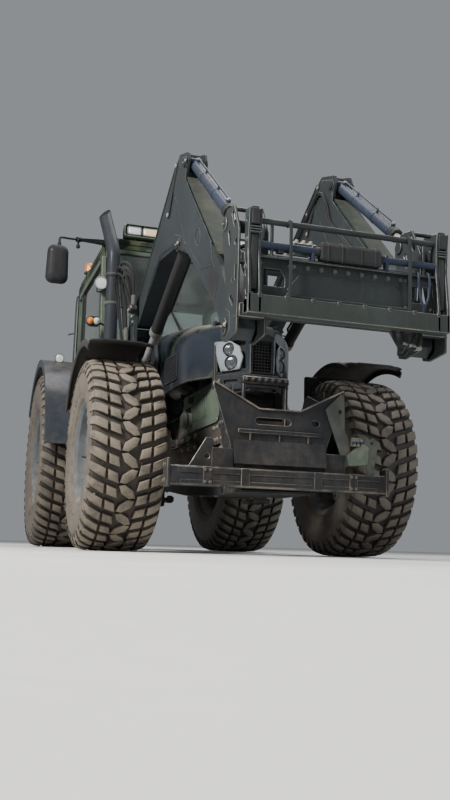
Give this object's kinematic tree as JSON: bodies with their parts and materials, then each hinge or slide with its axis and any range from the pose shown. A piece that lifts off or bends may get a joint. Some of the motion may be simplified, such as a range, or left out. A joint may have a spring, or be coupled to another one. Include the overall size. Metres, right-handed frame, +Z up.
{
  "type": "farm tractor with front loader",
  "caption": "Four-wheel-drive farm tractor with a raised front loader, tool carrier, front guard, hollow cab, opening hood and doors, and rear linkage.",
  "frame": {"origin": "on the floor under the middle of the tractor's bounding box", "axes": "+X forwards along the tractor, +Y to its left, +Z up"},
  "size_m": [6.359, 2.8, 3.29],
  "materials": {
    "tyre_rubber": "dusty moulded rubber",
    "rim_paint": "grey enamel, dusty",
    "green_paint": "matt olive green paint",
    "dark_paint": "satin blue-black paint",
    "loader_paint": "satin grey-green paint",
    "cast_dark": "painted castings with dust",
    "guard_steel": "dark paint under dust",
    "black_plastic": "moulded plastic",
    "cab_glass": "tinted safety glass",
    "lamp_lens": "clear moulded lamps",
    "cylinder_barrel": "black paint",
    "tilt_barrel": "steel blue paint",
    "rod_chrome": "hard chrome",
    "hose_rubber": "hydraulic hose",
    "seat_fabric": "woven seat cover",
    "exhaust_metal": "heat-proof black"
  },
  "bodies": {
    "chassis": {"engine_block": "cast_dark", "rear_axle_housing": "cast_dark", "front_frame": "cast_dark", "engine_side_panels": "green_paint", "front_axle": "cast_dark", "belly_guard": "guard_steel", "side_tanks": "black_plastic", "cab_steps": "dark_paint", "cab_frame": "green_paint", "cab_roof": "green_paint", "windshield": "cab_glass", "rear_windows": "cab_glass", "rear_fenders": "green_paint", "fender_extensions": "black_plastic", "mirrors": "black_plastic", "exhaust_stack": "exhaust_metal", "seat": "seat_fabric", "steering_console": "black_plastic", "steering_wheel": "black_plastic", "work_lamps": "lamp_lens", "loader_masts": "loader_paint", "valve_block": "cast_dark", "loader_hoses": "hose_rubber", "front_guard": "guard_steel", "front_beam": "guard_steel", "rear_hitch": "cast_dark"},
    "hood": {"hood": "green_paint", "grille": "black_plastic", "headlights": "lamp_lens"},
    "door_left": {"door_left": "green_paint", "door_glass_left": "cab_glass"},
    "door_right": {"door_right": "green_paint", "door_glass_right": "cab_glass"},
    "knuckle_left": {"knuckle_left": "cast_dark", "front_fender_left": "black_plastic"},
    "knuckle_right": {"knuckle_right": "cast_dark", "front_fender_right": "black_plastic"},
    "front_wheel_left": {"front_tyre_left": "tyre_rubber", "front_rim_left": "rim_paint"},
    "front_wheel_right": {"front_tyre_right": "tyre_rubber", "front_rim_right": "rim_paint"},
    "rear_wheel_left": {"rear_tyre_left": "tyre_rubber", "rear_rim_left": "rim_paint"},
    "rear_wheel_right": {"rear_tyre_right": "tyre_rubber", "rear_rim_right": "rim_paint"},
    "loader_boom": {"loader_boom": "loader_paint"},
    "boom_barrels": {"boom_cylinder_barrels": "cylinder_barrel"},
    "boom_rods": {"boom_cylinder_rods": "rod_chrome"},
    "tilt_barrels": {"tilt_cylinder_barrels": "tilt_barrel"},
    "tilt_rods": {"tilt_cylinder_rods": "rod_chrome"},
    "tool_carrier": {"tool_carrier": "loader_paint", "fork_frame": "dark_paint"},
    "lower_links": {"lower_links": "cast_dark"},
    "lift_arms": {"lift_arms": "cast_dark"},
    "lift_rods": {"lift_rods": "cast_dark"},
    "top_link": {"top_link": "cast_dark"}
  },
  "joints": [
    {"name": "hood_hinge", "type": "hinge", "parent": "chassis", "child": "hood", "pos_m": [-0.2455, 0, 1.91], "axis": [0, -1, 0], "range_deg": [0, 50]},
    {"name": "door_left_hinge", "type": "hinge", "parent": "chassis", "child": "door_left", "pos_m": [-1.9155, 0.83, 2], "axis": [0, 0, 1], "range_deg": [0, 80]},
    {"name": "door_right_hinge", "type": "hinge", "parent": "chassis", "child": "door_right", "pos_m": [-1.9155, -0.83, 2], "axis": [0, 0, -1], "range_deg": [0, 80]},
    {"name": "steer_left", "type": "hinge", "parent": "chassis", "child": "knuckle_left", "pos_m": [1.0895, 0.64, 0.705], "axis": [0, 0, 1], "range_deg": [-35, 35]},
    {"name": "steer_right", "type": "hinge", "parent": "chassis", "child": "knuckle_right", "pos_m": [1.0895, -0.64, 0.705], "axis": [0, 0, 1], "range_deg": [-35, 35]},
    {"name": "front_wheel_left_spin", "type": "hinge", "parent": "knuckle_left", "child": "front_wheel_left", "pos_m": [1.0895, 0.965, 0.705], "axis": [0, 1, 0], "continuous": true},
    {"name": "front_wheel_right_spin", "type": "hinge", "parent": "knuckle_right", "child": "front_wheel_right", "pos_m": [1.0895, -0.965, 0.705], "axis": [0, 1, 0], "continuous": true},
    {"name": "rear_wheel_left_spin", "type": "hinge", "parent": "chassis", "child": "rear_wheel_left", "pos_m": [-1.9055, 0.95, 0.905], "axis": [0, 1, 0], "continuous": true},
    {"name": "rear_wheel_right_spin", "type": "hinge", "parent": "chassis", "child": "rear_wheel_right", "pos_m": [-1.9055, -0.95, 0.905], "axis": [0, 1, 0], "continuous": true},
    {"name": "boom_lift", "type": "hinge", "parent": "chassis", "child": "loader_boom", "pos_m": [0.1745, 0, 2], "axis": [0, -1, 0], "range_deg": [-22, 55]},
    {"name": "boom_barrel_pivot", "type": "hinge", "parent": "loader_boom", "child": "boom_barrels", "pos_m": [1.5945, 0, 2.215], "axis": [0, -1, 0], "range_deg": [-7.4, 3.1]},
    {"name": "boom_rod_slide", "type": "slide", "parent": "boom_barrels", "child": "boom_rods", "axis": [-0.9049, 0, -0.4256], "range_m": [-0.136, 0.338]},
    {"name": "carrier_tilt", "type": "hinge", "parent": "loader_boom", "child": "tool_carrier", "pos_m": [2.8745, 0, 1.31], "axis": [0, 1, 0], "range_deg": [-15, 60]},
    {"name": "tilt_barrel_pivot", "type": "hinge", "parent": "loader_boom", "child": "tilt_barrels", "pos_m": [1.7345, 0, 2.79], "axis": [0, -1, 0], "range_deg": [-1.5, 5.6]},
    {"name": "tilt_rod_slide", "type": "slide", "parent": "tilt_barrels", "child": "tilt_rods", "axis": [0.793, 0, -0.6092], "range_m": [-0.151, 0.6]},
    {"name": "lower_link_lift", "type": "hinge", "parent": "chassis", "child": "lower_links", "pos_m": [-2.1855, 0, 0.56], "axis": [0, 1, 0], "range_deg": [-10, 20]},
    {"name": "lift_arm_turn", "type": "hinge", "parent": "chassis", "child": "lift_arms", "pos_m": [-2.2355, 0, 1.08], "axis": [0, 1, 0], "range_deg": [-12, 24]},
    {"name": "lift_rod_swing", "type": "hinge", "parent": "lift_arms", "child": "lift_rods", "pos_m": [-2.6655, 0, 1.04], "axis": [0, 1, 0], "range_deg": [-26, 13]},
    {"name": "top_link_swing", "type": "hinge", "parent": "chassis", "child": "top_link", "pos_m": [-2.3355, 0, 0.96], "axis": [0, 1, 0], "range_deg": [-12, 20]}
  ],
  "couplings": [
    {"joint": "steer_right", "follows": "steer_left", "ratio": 1},
    {"joint": "boom_barrel_pivot", "follows": "boom_lift", "ratio": -0.13},
    {"joint": "boom_rod_slide", "follows": "boom_lift", "m_per_rad": 0.35},
    {"joint": "tilt_barrel_pivot", "follows": "carrier_tilt", "ratio": 0.09},
    {"joint": "tilt_rod_slide", "follows": "carrier_tilt", "m_per_rad": 0.57},
    {"joint": "lift_arm_turn", "follows": "lower_link_lift", "ratio": 1.155},
    {"joint": "lift_rod_swing", "follows": "lower_link_lift", "ratio": -1.155}
  ]
}
